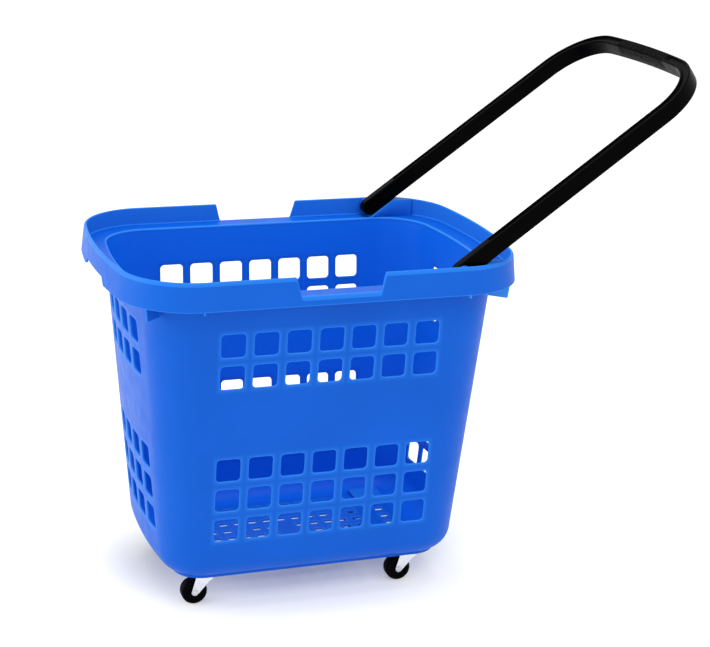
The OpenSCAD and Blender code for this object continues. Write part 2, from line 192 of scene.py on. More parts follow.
def new_material(name):
    mat = bpy.data.materials.new(name)
    mat.use_nodes = True
    return mat, mat.node_tree, mat.node_tree.nodes["Principled BSDF"]


def noise(tree, scale, detail=2.0, stretch=None):
    coords = tree.nodes.new("ShaderNodeTexCoord")
    node = tree.nodes.new("ShaderNodeTexNoise")
    node.inputs["Scale"].default_value = scale
    node.inputs["Detail"].default_value = detail
    if stretch:
        mapping = tree.nodes.new("ShaderNodeMapping")
        mapping.inputs["Scale"].default_value = stretch
        tree.links.new(coords.outputs["Object"], mapping.inputs["Vector"])
        tree.links.new(mapping.outputs["Vector"], node.inputs["Vector"])
    else:
        tree.links.new(coords.outputs["Object"], node.inputs["Vector"])
    return node.outputs["Fac"]


def ramp(tree, source, low, high, a, b):
    node = tree.nodes.new("ShaderNodeMapRange")
    node.inputs["From Min"].default_value = low
    node.inputs["From Max"].default_value = high
    node.inputs["To Min"].default_value = a
    node.inputs["To Max"].default_value = b
    tree.links.new(source, node.inputs["Value"])
    return node.outputs["Result"]


def mix_colour(tree, factor, a, b):
    node = tree.nodes.new("ShaderNodeMix")
    node.data_type = "RGBA"
    tree.links.new(factor, node.inputs["Factor"])
    for socket, value in ((node.inputs["A"], a), (node.inputs["B"], b)):
        if hasattr(value, "links"):
            tree.links.new(value, socket)
        else:
            socket.default_value = (*value, 1)
    return node.outputs["Result"]


def bump(tree, shader, height, strength, distance):
    node = tree.nodes.new("ShaderNodeBump")
    node.inputs["Strength"].default_value = strength
    node.inputs["Distance"].default_value = distance
    tree.links.new(height, node.inputs["Height"])
    tree.links.new(node.outputs["Normal"], shader.inputs["Normal"])


def blue_plastic(name, light, dark, edge, inside, roughness=0.42):
    """Moulded polypropylene: faint clouding and orange peel. A tone on the mesh's points picks the colour: 0 is the
    plain faces', 1 paints highlights on the rounded edges, and -1 paints the tub's inner side lighter, for light
    through the walls."""
    mat, tree, shader = new_material(name)
    cloud = ramp(tree, noise(tree, 9, 3), 0.35, 0.65, 0, 1)
    colour = mix_colour(tree, cloud, dark, light)
    attribute = tree.nodes.new("ShaderNodeAttribute")
    attribute.attribute_name = "painted_light_tone"
    # Painted highlight: a positive tone mixes in the paler edge colour.
    colour = mix_colour(tree, attribute.outputs["Fac"], colour, edge)
    # Painted light: a negative tone mixes in the inside colour, lighter as if lit through the walls.
    painted_inner_light = tree.nodes.new("ShaderNodeMath")
    painted_inner_light.operation = "MULTIPLY"
    painted_inner_light.inputs[1].default_value = -1.0
    tree.links.new(attribute.outputs["Fac"], painted_inner_light.inputs[0])
    colour = mix_colour(tree, painted_inner_light.outputs["Value"], colour, inside)
    tree.links.new(colour, shader.inputs["Base Color"])
    rough = ramp(tree, noise(tree, 55, 4), 0.3, 0.7, roughness - 0.05, roughness + 0.06)
    tree.links.new(rough, shader.inputs["Roughness"])
    shader.inputs["Specular IOR Level"].default_value = 0.10
    bump(tree, shader, noise(tree, 650, 3), 0.10, 0.0004)
    return mat


def black_plastic(name, colour, roughness, peel):
    """Moulded black plastic: slightly greyer where it is rubbed, with orange peel of the strength given."""
    mat, tree, shader = new_material(name)
    wear = ramp(tree, noise(tree, 38, 5), 0.45, 0.75, 0, 1)
    tree.links.new(mix_colour(tree, wear, colour, tuple(c * 1.5 for c in colour)), shader.inputs["Base Color"])
    rough = ramp(tree, noise(tree, 120, 4), 0.3, 0.7, roughness - 0.05, roughness + 0.08)
    tree.links.new(rough, shader.inputs["Roughness"])
    shader.inputs["Specular IOR Level"].default_value = 0.02
    bump(tree, shader, noise(tree, 900, 3), peel, 0.0003)
    return mat


def zinc(name, colour, roughness):
    """Bright zinc plate: a metal with faint brushing and cloudy roughness."""
    mat, tree, shader = new_material(name)
    cloud = ramp(tree, noise(tree, 160, 4), 0.35, 0.7, 0, 1)
    tree.links.new(mix_colour(tree, cloud, colour, tuple(c * 0.86 for c in colour)), shader.inputs["Base Color"])
    shader.inputs["Metallic"].default_value = 1.0
    rough = ramp(tree, noise(tree, 420, 3), 0.3, 0.7, roughness - 0.06, roughness + 0.08)
    tree.links.new(rough, shader.inputs["Roughness"])
    bump(tree, shader, noise(tree, 1200, 2, (1, 1, 0.12)), 0.08, 0.0002)
    return mat


# Painted light: the inside colour is lighter than the plain blue, standing in for light through the walls; each
# blue's third colour is a painted highlight for rounded edges.
PAINTED_INNER_LIGHT_BLUE = (0.0020, 0.122, 0.690)
BLUE = blue_plastic("basket_blue", (0.0018, 0.098, 0.560), (0.0014, 0.090, 0.530), (0.020, 0.200, 0.740), PAINTED_INNER_LIGHT_BLUE)
# A lit copy of the blue: painted backlight for the front gussets, which show lit through from behind.
BACKLIT_PAINTED_BLUE = blue_plastic("backlit_painted_blue", (0.010, 0.200, 0.680), (0.008, 0.180, 0.640), (0.040, 0.300, 0.800),
                         PAINTED_INNER_LIGHT_BLUE, 0.36)
HANDLE_BLACK = black_plastic("handle_black", (0.0007, 0.0007, 0.0008), 0.28, 0.10)
WHEEL_BLACK = black_plastic("wheel_black", (0.0015, 0.0015, 0.0017), 0.48, 0.16)
ZINC = zinc("zinc_bright", (0.80, 0.81, 0.83), 0.26)
STEEL = zinc("steel_bright", (0.66, 0.66, 0.68), 0.30)


# ---------------------------------------------------------------- the tub

SEGS = 8
LONG_XS = [-3.5 * PITCH + PITCH / SEGS * i for i in range(7 * SEGS + 1)]
END_YS = [-2 * PITCH + PITCH / SEGS * i for i in range(4 * SEGS + 1)]
CORNER_STEPS = 24
ROWS_BELOW, ROWS_ABOVE = 3, 6
HOLE_LIP = 1.15


def tub_size(z, inset):
    lean = (LEDGE_Z - z) * math.tan(rad(DRAFT))
    r = TUB_R - (LEDGE_Z - z) * CORNER_DRAFT
    return TUB_L / 2 - lean - inset, TUB_W / 2 - lean - inset, r - inset


def end_x(y, z, inset):
    half_l, half_w, r = tub_size(z, inset)
    cy = half_w - r
    end_r = END_SWEEP_R + r
    if abs(y) <= end_r * math.sin(end_turn(cy)):
        return half_l - end_r + math.sqrt(end_r**2 - y * y)
    return half_l - r - end_bulge(cy) + math.sqrt(r * r - (abs(y) - cy) ** 2)


def side_y(x, z, inset):
    half_l, half_w, r = tub_size(z, inset)
    past = abs(x) - (half_l - r - end_bulge(half_w - r))
    return half_w if past <= 0 else half_w - r + math.sqrt(r * r - past * past)


def corner_points(z, inset):
    """Points between the front face's last column and the long side's, in the first quadrant."""
    half_l, half_w, r = tub_size(z, inset)
    cy = half_w - r
    cx = half_l - r - end_bulge(cy)
    x0, y0 = LONG_XS[-1], END_YS[-1]
    end_r, turn = END_SWEEP_R + r, end_turn(cy)
    start = min(turn, math.asin(y0 / end_r))
    up, along = end_r * (turn - start), max(0.0, cx - x0)
    a0 = turn if up else math.asin((y0 - cy) / r)
    a1 = math.acos(max(0.0, x0 - cx) / r)
    total = up + r * (a1 - a0) + along
    points = []
    for k in range(1, CORNER_STEPS):
        s = total * k / CORNER_STEPS
        if s < up:
            a = start + s / end_r
            points.append((half_l - end_r + end_r * math.cos(a), end_r * math.sin(a)))
        elif s > total - along:
            points.append((x0 + total - s, half_w))
        else:
            a = a0 + (s - up) / r
            points.append((cx + r * math.cos(a), cy + r * math.sin(a)))
    return points


def perimeter(z, inset):
    corner = corner_points(z, inset)
    points = [(end_x(y, z, inset), y) for y in END_YS]
    points += corner
    points += [(x, side_y(x, z, inset)) for x in reversed(LONG_XS)]
    points += [(-x, y) for x, y in reversed(corner)]
    points += [(-end_x(y, z, inset), y) for y in reversed(END_YS)]
    points += [(-x, -y) for x, y in corner]
    points += [(x, -side_y(x, z, inset)) for x in LONG_XS]
    points += [(x, -y) for x, y in reversed(corner)]
    return points


def level_heights(top):
    low = FIRST_ROW - PITCH / 2
    high = FIRST_ROW + 6.5 * PITCH
    rows = 7 * SEGS
    heights = [FILLET_Z + (low - FILLET_Z) * i / ROWS_BELOW for i in range(ROWS_BELOW)]
    heights += [low + (high - low) * i / rows for i in range(rows + 1)]
    heights += [high + (top - high) * i / ROWS_ABOVE for i in range(1, ROWS_ABOVE + 1)]
    return heights


def loop_offsets(half_w, half_h, r, segs):
    """A rounded rectangle's points, matched one to one with a square cell's border of segs a side."""
    half = segs // 2
    arc_steps = half - 2 if segs > 4 else 1

    def side(i):
        """(along, out) on one side, whose far corners are i = -half and half."""
        sign, k = (1 if i >= 0 else -1), abs(i)
        straight = half - arc_steps
        if k <= straight:
            return sign * k / straight, 0.0
        return sign, 45.0 * (k - straight) / arc_steps

    def point(i, along_half, out_half):
        share, turn = side(i)
        a = share * (along_half - r)
        if turn == 0:
            return a, out_half
        s = 1 if share > 0 else -1
        return s * (along_half - r + r * math.sin(rad(turn))), out_half - r + r * math.cos(rad(turn))

    points = []
    for i in range(-half, half):
        a, o = point(i, half_w, half_h)
        points.append((a, -o))
    for i in range(-half, half):
        a, o = point(i, half_h, half_w)
        points.append((o, a))
    for i in range(-half, half):
        a, o = point(-i, half_w, half_h)
        points.append((a, o))
    for i in range(-half, half):
        a, o = point(-i, half_h, half_w)
        points.append((-o, a))
    return points


def cell_border(grid, j0, i_list, segs):
    """Vertex numbers round a cell, in the order of loop_offsets."""
    low, high = grid[j0], grid[j0 + segs]
    loop = [low[i_list[k]] for k in range(segs)]
    loop += [grid[j0 + k][i_list[segs]] for k in range(segs)]
    loop += [high[i_list[segs - k]] for k in range(segs)]
    loop += [grid[j0 + segs - k][i_list[0]] for k in range(segs)]
    return loop


def hole(build, outer, inner, place, centre, half_w, half_h, r, lip, depth, segs):
    """Fills a cell round a hole, with rounded edges on both faces. place(u, v, t): t is 0 outside and 1 inside."""
    # The lip rows carry painted highlights: paler tones on the rounded edges of both faces.
    rows = [outer]
    for a in (0, 30, 60, 90):
        grow, t = lip * (1 - math.sin(rad(a))), lip * (1 - math.cos(rad(a))) / depth
        offsets = loop_offsets(half_w + grow, half_h + grow, r + grow, segs)
        points = [place(centre[0] + u, centre[1] + v, t) for u, v in offsets]
        rows.append(build.ring(points, tone=1.0 if a else 0.35))
    for a in (90, 60, 30, 0):
        grow, t = lip * (1 - math.sin(rad(a))), 1 - lip * (1 - math.cos(rad(a))) / depth
        offsets = loop_offsets(half_w + grow, half_h + grow, r + grow, segs)
        points = [place(centre[0] + u, centre[1] + v, t) for u, v in offsets]
        rows.append(build.ring(points, tone=0.5 if a else 0.2))
    rows.append(inner)
    build.rings(rows)


def lerp(a, b, t):
    return tuple(p + (q - p) * t for p, q in zip(a, b))


def build_tub(build):
    """The walls with their holes, the rounding to the floor, the floor with its slots, and the ring under it."""
    ends, corner, longs = len(END_YS), CORNER_STEPS - 1, len(LONG_XS)
    starts = {"front": 0, "left": ends + corner}
    starts["rear"] = starts["left"] + longs + corner
    starts["right"] = starts["rear"] + ends + corner
    total = 2 * (ends + longs) + 4 * corner
    outer_heights = level_heights(LEDGE_Z - LEDGE_THICK - 7)
    inner_heights = level_heights(LEDGE_Z - 8)
    outer = [build.ring([(x, y, z) for x, y in perimeter(z, 0)]) for z in outer_heights]
    # The inner side takes tone -1, the painted light that stands in for light through the walls.
    inner = [build.ring([(x, y, z) for x, y in perimeter(z, WALL)], tone=-1) for z in inner_heights]

    def panel_place(panel):
        def place(u, v, t):
            if panel in ("left", "right"):
                s = 1 if panel == "left" else -1
                return lerp((u, s * side_y(u, v, 0), v), (u, s * side_y(u, v, WALL), v), t)
            s = 1 if panel == "front" else -1
            return lerp((s * end_x(u, v, 0), u, v), (s * end_x(u, v, WALL), u, v), t)

        return place

    taken = set()
    for panel, start in starts.items():
        columns = 7 if panel in ("left", "right") else 4
        backwards = panel in ("left", "rear")
        for column in range(columns):
            for row in HOLE_ROWS:
                j0 = ROWS_BELOW + row * SEGS
                i0 = start + column * SEGS
                taken |= {(i, j) for i in range(i0, i0 + SEGS) for j in range(j0, j0 + SEGS)}
                along = list(range(i0, i0 + SEGS + 1))
                if backwards:
                    along.reverse()
                u = (column - (columns - 1) / 2) * PITCH * (-1 if backwards else 1)
                centre = (u, FIRST_ROW + row * PITCH)
                hole(build, cell_border(outer, j0, along, SEGS), cell_border(inner, j0, along, SEGS),
                     panel_place(panel), centre, HOLE_W / 2, HOLE_H / 2, HOLE_R, HOLE_LIP, WALL, SEGS)
    for grid in (outer, inner):
        for j in range(len(grid) - 1):
            for i in range(total):
                if (i, j) not in taken:
                    k = (i + 1) % total
                    build.faces.append((grid[j][i], grid[j][k], grid[j + 1][k], grid[j + 1][i]))

    below = [outer[0]]
    for a in range(10, 71, 10):
        inset, z = FILLET_R * (1 - math.cos(rad(a))), FILLET_Z - FILLET_R * math.sin(rad(a))
        below.append(build.ring([(x, y, z) for x, y in perimeter(FILLET_Z, inset)]))
    ring_bottom = FLOOR_Z - RING_DEPTH
    for inset, z in ((RING_INSET - 0.4, FLOOR_Z - 0.1), (RING_INSET, FLOOR_Z - 0.5), (RING_INSET, ring_bottom + 0.6),
                     (RING_INSET + 0.2, ring_bottom + 0.2), (RING_INSET + 0.6, ring_bottom),
                     (RING_INSET + RING_WALL - 0.5, ring_bottom), (RING_INSET + RING_WALL, ring_bottom + 0.5),
                     (RING_INSET + RING_WALL, FLOOR_Z - FLOOR_THICK)):
        below.append(build.ring([(x, y, z) for x, y in perimeter(FILLET_Z, inset)]))
    build.rings(below)
    inside = [inner[0]]
    # The inner rounding to the floor takes the same painted light, tone -1.
    for a in range(10, 91, 10):
        inset = WALL + INNER_FILLET_R * (1 - math.cos(rad(a)))
        z = FILLET_Z - INNER_FILLET_R * math.sin(rad(a))
        inside.append(build.ring([(x, y, z) for x, y in perimeter(FILLET_Z, inset)], tone=-1))
    build.rings(inside)
    build_floor(build, inside[-1], below[-1])
    return outer[-1], inner[-1]


def build_floor(build, top_edge, bottom_edge):
    """The floor with its slots: none at the casters' pads, in the columns beside them or at the middle."""
    segs, pitch_x, pitch_y, half_cols, half_rows = 4, 20.5, 23.0, 7.5, 4
    slot_half_l, slot_half_w, slot_r, lip = 5.5, 4.0, 0.9, 0.45
    columns, rows = int(2 * half_cols), 2 * half_rows
    xs = [-half_cols * pitch_x + pitch_x * i / segs for i in range(columns * segs + 1)]
    ys = [-half_rows * pitch_y + pitch_y * j / segs for j in range(rows * segs + 1)]
    top = [build.ring([(x, y, FLOOR_Z) for x in xs]) for y in ys]
    bottom = [build.ring([(x, y, FLOOR_Z - FLOOR_THICK) for x in xs]) for y in ys]

    def place(u, v, t):
        return (u, v, FLOOR_Z - FLOOR_THICK * t)

    taken = set()
    for c in range(columns):
        for r in range(rows):
            column, row = c - 7, r - 3.5
            if abs(column) == 6 or (column == 0 and abs(row) < 1) or (abs(column) == 7 and abs(row) > 2):
                continue
            i0, j0 = c * segs, r * segs
            taken |= {(i, j) for i in range(i0, i0 + segs) for j in range(j0, j0 + segs)}
            along = list(range(i0, i0 + segs + 1))
            hole(build, cell_border(top, j0, along, segs), cell_border(bottom, j0, along, segs), place,
                 (column * pitch_x, row * pitch_y), slot_half_l, slot_half_w, slot_r, lip, FLOOR_THICK, segs)
    for grid in (top, bottom):
        for j in range(len(ys) - 1):
            for i in range(len(xs) - 1):
                if (i, j) not in taken:
                    build.faces.append((grid[j][i], grid[j][i + 1], grid[j + 1][i + 1], grid[j + 1][i]))
        border = grid[0][:-1] + [row[-1] for row in grid[:-1]]
        border += grid[-1][:0:-1] + [row[0] for row in grid[:0:-1]]
        build.zipped(top_edge if grid is top else bottom_edge, border)


# ---------------------------------------------------------------- the rim


def table(value, rows):
    """Straight lines between (position, result) rows, flat beyond both ends."""
    if value <= rows[0][0]:
        return rows[0][1]
    for (a, p), (b, q) in zip(rows, rows[1:]):
        if value <= b:
            return p + (q - p) * (value - a) / (b - a)
    return rows[-1][1]


# By distance from the middle of a side: the band's height above the ledge at a notch, and the rise of the skirt's
# edge at a hand-hold.
NOTCH = [(49.4, 0), (50.3, 0.4), (50.9, 1.3), (51.4, 2.9), (56.2, 21.3), (56.6, 22.5), (57.2, 23.5), (58.3, 24)]
HAND_HOLD = [(44.0, 9), (45.2, 8.4), (46.2, 7.6), (53.0, 1.0), (54.0, 0.4), (55.3, 0)]


def spaced(half, step, special):
    """Positions from -half to half: the special ones on both sides, and even ones away from them."""
    low, high = special[0] - 2, special[-1] + 2
    n = round(2 * half / step)
    even = [-half + 2 * half * i / n for i in range(n + 1)]
    kept = [p for p in even if not low < abs(p) < high]
    extra = [s * p for p in special for s in (-1, 1)]
    middle = [s * (special[0] + special[-1]) / 2 for s in (-1, 1)]
    return sorted(kept + extra + middle)


def rim_stations():
    """(base x, base y, direction x, direction y, band height above the ledge, skirt rise) round the rim."""
    xs = spaced(SWEEP_X, 7, [p for p, _ in NOTCH])
    turn = end_turn(SWEEP_Y)
    ys = spaced(END_BOW_R * math.sin(turn), 7, [p for p, _ in HAND_HOLD])
    full = RIM_Z - LEDGE_Z
    stations = []

    def end(sign, order):
        for y in order:
            a = math.asin(y / END_BOW_R)
            x = RIM_L / 2 - END_BOW_R + END_SWEEP_R * math.cos(a)
            stations.append((sign * x, END_SWEEP_R * math.sin(a), sign * math.cos(a), math.sin(a), full,
                             table(abs(y), HAND_HOLD)))

    def corner(sx, sy, a0, a1):
        for i in range(1, CORNER_STEPS):
            a = a0 + (a1 - a0) * i / CORNER_STEPS
            stations.append((sx * SWEEP_X, sy * SWEEP_Y, math.cos(a), math.sin(a), full, 0.0))

    quarter = math.pi / 2
    end(1, ys)
    corner(1, 1, turn, quarter)
    stations += [(x, SWEEP_Y, 0, 1, table(abs(x), NOTCH), 0.0) for x in reversed(xs)]
    corner(-1, 1, quarter, 2 * quarter - turn)
    end(-1, list(reversed(ys)))
    corner(-1, -1, 2 * quarter + turn, 3 * quarter)
    stations += [(x, -SWEEP_Y, 0, -1, table(abs(x), NOTCH), 0.0) for x in xs]
    corner(1, -1, 3 * quarter, 4 * quarter - turn)
    return stations


def band_out(z):
    return RIM_R + (RIM_Z - z) * math.tan(rad(FLARE))


def rim_profile(height, rise):
    """(distance out, height, tone) from the inner wall over the ledge and the band to the outer wall. The tone is
    painted light: highlights on the rounded edges, a paler band inner face, a faint lift on its outer face, and the
    inner side's light on the first row.
    """
    under = LEDGE_Z - LEDGE_THICK
    top, low = LEDGE_Z + height, SKIRT_Z + rise
    wall_in = TUB_R - WALL

    def inner_face(z):
        return band_out(z) - RIM_WALL

    rows = [(wall_in, LEDGE_Z - 4.5, -1)]
    rows += [(q, z, 1) for q, z in arc(wall_in + 1.8, LEDGE_Z - 1.8, 1.8, 180, 90, 4)]
    f = min(1.6, height / 4)
    foot = inner_face(LEDGE_Z)
    rows += [(wall_in + 2.6, LEDGE_Z, 0), (foot - f - 0.8, LEDGE_Z, 0)]
    rows += [(q, z, 0.8) for q, z in arc(foot - f, LEDGE_Z + f, f, 270, 360, 3)]
    r, gap = min(1.3, height / 4), min(0.8, height / 8)
    rows += [(inner_face(z), z, 0.8) for z in (LEDGE_Z + f + gap, top - r - gap)]
    rows += [(q, z, 1) for q, z in arc(inner_face(top) + r, top - r, r, 180, 90, 3)]
    for a in (90, 72, 54, 36, 18, 0):
        z = top - SHOULDER_H + SHOULDER_H * math.sin(rad(a))
        rows.append((band_out(z) - SHOULDER_W + SHOULDER_W * math.cos(rad(a)), z, 0.7))
    rows += [(band_out(z), z, 0.1) for z in (top - SHOULDER_H - 0.6, low + 1.5)]
    rows += [(q, z, 0.7) for q, z in arc(band_out(low) - 0.9, low + 0.9, 0.9, 0, -90, 3)]
    r = min(0.9, (under - low) / 2)
    rows += [(q, z, 0.4) for q, z in arc(inner_face(low) + r, low + r, r, 270, 180, 3)]
    f = min(1.5, (under - low) / 2)
    rows += [(q, z, 0) for q, z in arc(inner_face(under) - f, under - f, f, 0, 90, 3)]
    rows += [(q, z, 0) for q, z in arc(TUB_R + 1.5, under - 1.5, 1.5, 90, 180, 3)]
    rows += [(TUB_R, under - 3, 0)]
    return rows


def build_rim(build, outer_wall, inner_wall):
    stations = rim_stations()
    profiles = [rim_profile(s[4], s[5]) for s in stations]
    step_in = SWEEP_X - (TUB_L / 2 - TUB_R - end_bulge(TUB_W / 2 - TUB_R))
    rows = []
    for k in range(len(profiles[0])):
        ring = []
        for (bx, by, dx, dy, _, _), profile in zip(stations, profiles):
            q, z, tone = profile[k]
            x = bx - step_in * max(-1, min(1, bx / SWEEP_X)) if q < TUB_R + 0.1 else bx
            ring.append(build.v(x + dx * q, by + dy * q, z, tone))
        rows.append(ring)
    build.rings(rows)
    build.zipped(rows[0], inner_wall)
    build.zipped(rows[-1], outer_wall)


def build_stops(build):
    """The blocks that close the ledge channel beyond the pivots; their sloping faces carry the arms."""
    under_arm = ARM_D / 2 + 0.3
    slope = math.tan(rad(PULL_ANGLE))
    drop = under_arm / math.cos(rad(PULL_ANGLE))
    crest = PIVOT_X + (RIM_Z + drop - PIVOT_Z) / slope
    foot = PIVOT_X + (LEDGE_Z + drop - PIVOT_Z) / slope
    y_in, top_q, low_q, r = TUB_W / 2 - WALL + 0.9, RIM_R - 1.7, RIM_R + 0.6, 1.2
    last = SWEEP_X + math.sqrt(top_q**2 - (y_in + 2 * r + 0.4 - SWEEP_Y) ** 2)
    xs = [foot + 0.3 + (crest - 2 - foot) * i / 8 for i in range(9)]
    xs += [crest - 0.8, crest - 0.1, crest + 0.7, crest + 1.8]
    xs += [crest + 1.8 + (last - crest - 1.8) * i / 14 for i in range(1, 15)]

    def top_at(x):
        return RIM_Z + 0.06 - table(x, [(foot, crest - foot), (crest - 2.6, 2.6), (crest - 0.9, 1.05),
                                        (crest + 0.3, 0.28), (crest + 1.8, 0)]) * slope

    for side in (1, -1):
        rows = []
        for x in xs:
            past = max(0.0, x - SWEEP_X)
            y_top = SWEEP_Y + math.sqrt(top_q**2 - past**2)
            y_low = SWEEP_Y + math.sqrt(low_q**2 - past**2)
            top = top_at(x)
            low = LEDGE_Z - 1
            points = [(y_in, low)]
            points += [(y_in + r - r * math.cos(rad(a)), top - r + r * math.sin(rad(a))) for a in (0, 30, 60, 90)]
            points += [(y_top, top), (y_low, low)]
            # Painted light: the stop's face and rounded top edge are painted paler, to lift the shade on them.
            tones = [0.75, 0.75, 1, 1, 0.6, 0.3, 0.3]
            rows.append([build.v(x, side * y, z, tone) for (y, z), tone in zip(points, tones)])
        build.rings(rows)
        build.cap(rows[0])
        build.cap(rows[-1])


def build_bosses(build):
    """The bosses inside the band that the handle's pins turn in."""
    face, back, r = HANDLE_W / 2 + 0.8, 186.9, 10.0
    profile = [(AXIS, face), (r - 0.8, face), (r - 0.2, face + 0.3), (r, face + 0.8), (r, back), (AXIS, back)]
    for side in (1, -1):

        def place(a, b, h):
            return (PIVOT_X + a, side * h, PIVOT_Z - 0.1 + b)

        lathe(build, profile, place, 40)


def build_pads(build):
    """The raised pads over the casters' plates."""
    for sx in (1, -1):
        for sy in (1, -1):
            rows = []
            for grow, z in ((1.6, FLOOR_Z - 1), (1.6, FLOOR_Z + 0.02), (0.8, FLOOR_Z + 0.25), (0.2, FLOOR_Z + 0.9),
                            (0, FLOOR_Z + 1.6), (0, PAD_TOP - 1.2), (-0.3, PAD_TOP - 0.4), (-1.2, PAD_TOP)):
                offsets = loop_offsets(PAD_HALF_L + grow, PAD_HALF_W + grow, PAD_R + grow, 16)
                points = [(sx * PAD_X + u, sy * PAD_Y + v, z) for u, v in offsets]
                # The pad's top rounding is painted paler, a painted highlight.
                rows.append(build.ring(points, tone=0.6 if grow < 0 else 0))
            build.rings(rows)
            build.cap(rows[0])
            build.cap(rows[-1])


def plate(build, outline, thickness, place, edge=0.5, face_painted_light=0.8):
    """A flat plate with rounded edges; place(a, b, h) puts a point of the outline at height h."""
    n = len(outline)
    area = sum(outline[i][0] * outline[(i + 1) % n][1] - outline[(i + 1) % n][0] * outline[i][1] for i in range(n))
    if area < 0:
        outline = outline[::-1]

    def shrunk(d):
        points = []
        for i in range(n):
            (ax, ay), (bx, by), (cx, cy) = outline[i - 1], outline[i], outline[(i + 1) % n]
            u, v = Vector((bx - ax, by - ay)).normalized(), Vector((cx - bx, cy - by)).normalized()
            bisector = Vector((-u.y - v.y, u.x + v.x))
            scale = d / max(0.35, 1 + u.dot(v)) if d else 0
            points.append((bx + bisector.x * scale, by + bisector.y * scale))
        return points

    # The rounded edges take tone 0.8, a painted highlight; the faces take the face tone given, painted light where it
    # is above 0.
    rows = []
    for d, h, tone in ((2 * edge, 0, face_painted_light), (edge, 0, 0.8), (edge * 0.3, edge * 0.3, 0.8), (0, edge, 0.8),
                       (0, thickness - edge, 0.8), (edge * 0.3, thickness - edge * 0.3, 0.8), (edge, thickness, 0.8),
                       (2 * edge, thickness, face_painted_light)):
        rows.append(build.ring([place(a, b, h - thickness / 2) for a, b in shrunk(d)], tone=tone))
    build.rings(rows)
    build.cap(rows[0])
    build.cap(rows[-1])


def build_gussets(build, sx, face_painted_light):
    """Thin plates under the ledge that tie the skirt to the wall: gussets at the corners, small ribs on the sides."""
    reach = band_out(SKIRT_Z) - RIM_WALL + 1.2

    def outline(drop, wall_d):
        top, low = LEDGE_Z - 1.5, SKIRT_Z - drop
        return [(wall_d, top), (reach, top), (reach, SKIRT_Z + 1), (reach - 2.1, low + 0.5), (reach - 2.6, low),
                (wall_d, low)]

    def radial(bx, by, angle):
        c, s = math.cos(rad(angle)), math.sin(rad(angle))

        def place(a, b, h):
            return (bx + a * c - h * s, by + a * s + h * c, b)

        return place

    for sy in (1, -1):
        angle = math.degrees(math.atan2(sy * math.sin(rad(GUSSET_TURN)), sx * math.cos(rad(GUSSET_TURN))))
        plate(build, outline(GUSSET_DROP, TUB_R - WALL), GUSSET_THICK, radial(sx * SWEEP_X, sy * SWEEP_Y, angle),
              face_painted_light=face_painted_light)
        plate(build, outline(RIB_DROP, TUB_W / 2 - SWEEP_Y - WALL), RIB_THICK,
              radial(sx * RIB_X, sy * SWEEP_Y, 90 * sy), face_painted_light=face_painted_light)


body = Build()
outer_top, inner_top = build_tub(body)
build_rim(body, outer_top, inner_top)
body.object("basket_moulding", "basket", BLUE, "basket_plastic", ["basket_body"])
extras = Build()
build_stops(extras)
build_bosses(extras)
build_pads(extras)
extras.object("basket_stops_and_pads", "basket", BLUE, "basket_plastic")
# Painted backlight on the front gussets' faces; the rear gussets have plain faces and painted highlights only on
# their edges.
for end_name, sx, material, face_painted_light in (("front", 1, BACKLIT_PAINTED_BLUE, 0.8), ("rear", -1, BLUE, 0.0)):
    gussets = Build()
    build_gussets(gussets, sx, face_painted_light)
    gussets.object("basket_gussets_" + end_name, "basket", material, "basket_plastic")


# ---------------------------------------------------------------- the handle

HANDLE_REACH, ARM_W = 411.0, 15.0
TAPER, HANDLE_R, BOW_R, GRIP_HALF, GROOVE_START = 0.002, 76.0, 1800.0, 65.0, 51.0
RIB_PITCH = 2.8


